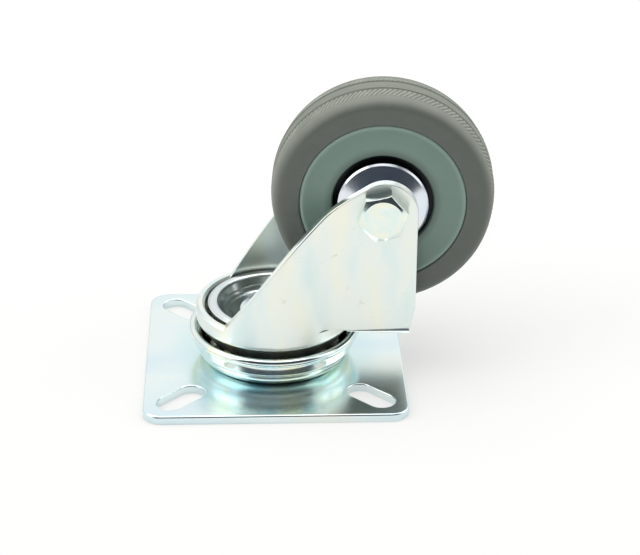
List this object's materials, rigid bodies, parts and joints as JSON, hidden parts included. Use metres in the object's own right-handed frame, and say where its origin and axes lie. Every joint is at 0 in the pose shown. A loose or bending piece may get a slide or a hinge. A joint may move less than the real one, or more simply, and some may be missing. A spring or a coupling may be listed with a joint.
{
  "type": "swivel castor",
  "caption": "Small swivel castor: square slotted mounting plate, double ball-race swivel head, pressed steel fork and a rubber-tyred wheel on a bolted axle with ball bearings.",
  "frame": {"origin": "centre of the mounting plate's fixing face, on the swivel axis", "axes": "+Z along the swivel axis from the plate towards the wheel, +X along the plate's side towards the trailing wheel, +Y along the plate's other side. At rest the fork is swivelled 3.2 degrees clockwise from +X, seen from the wheel's side."},
  "size_m": [0.0798, 0.06, 0.0694],
  "materials": {
    "zinc_plate": "zinc plated, semi-gloss",
    "zinc_fork": "zinc plated, semi-gloss",
    "bright_steel": "bright zinc",
    "ball_steel": "polished, greased",
    "core_plastic": "grey-green moulded polypropylene",
    "tyre_rubber": "dark grey thermoplastic rubber, matt"
  },
  "bodies": {
    "base": {"top_plate": "zinc_plate", "outer_race_cup": "zinc_plate", "inner_race_cup": "zinc_plate", "kingpin_rivet": "bright_steel"},
    "main_ball_ring": {"main_race_balls": "ball_steel"},
    "upper_ball_ring": {"upper_race_balls": "ball_steel"},
    "swivel_fork": {"fork": "zinc_fork", "axle_bolt": "bright_steel", "axle_nut": "bright_steel", "axle_washer": "bright_steel", "axle_lock_washer": "bright_steel", "axle_sleeve": "bright_steel", "bearing_cone_near": "bright_steel", "bearing_cone_far": "bright_steel"},
    "wheel": {"tyre": "tyre_rubber", "wheel_core": "core_plastic", "bearing_cup_near": "bright_steel", "bearing_cup_far": "bright_steel"},
    "near_ball_ring": {"bearing_balls_near": "ball_steel"},
    "far_ball_ring": {"bearing_balls_far": "ball_steel"}
  },
  "joints": [
    {"name": "swivel", "type": "hinge", "parent": "base", "child": "swivel_fork", "pos_m": [0, 0, 0], "axis": [0, 0, 1], "continuous": true},
    {"name": "wheel_spin", "type": "hinge", "parent": "swivel_fork", "child": "wheel", "pos_m": [0.02456, -0.00137, 0.0443], "axis": [0.0558, 0.9984, 0], "continuous": true},
    {"name": "main_ball_travel", "type": "hinge", "parent": "base", "child": "main_ball_ring", "pos_m": [0, 0, 0.0061], "axis": [0, 0, 1], "continuous": true},
    {"name": "upper_ball_travel", "type": "hinge", "parent": "base", "child": "upper_ball_ring", "pos_m": [0, 0, 0.0125], "axis": [0, 0, 1], "continuous": true},
    {"name": "near_ball_travel", "type": "hinge", "parent": "swivel_fork", "child": "near_ball_ring", "pos_m": [0.02456, -0.00137, 0.0443], "axis": [0.0558, 0.9984, 0], "continuous": true},
    {"name": "far_ball_travel", "type": "hinge", "parent": "swivel_fork", "child": "far_ball_ring", "pos_m": [0.02456, -0.00137, 0.0443], "axis": [0.0558, 0.9984, 0], "continuous": true}
  ],
  "couplings": [
    {"joint": "main_ball_travel", "follows": "swivel", "ratio": 0.5},
    {"joint": "upper_ball_travel", "follows": "swivel", "ratio": 0.5},
    {"joint": "near_ball_travel", "follows": "wheel_spin", "ratio": 0.6},
    {"joint": "far_ball_travel", "follows": "wheel_spin", "ratio": 0.6}
  ]
}
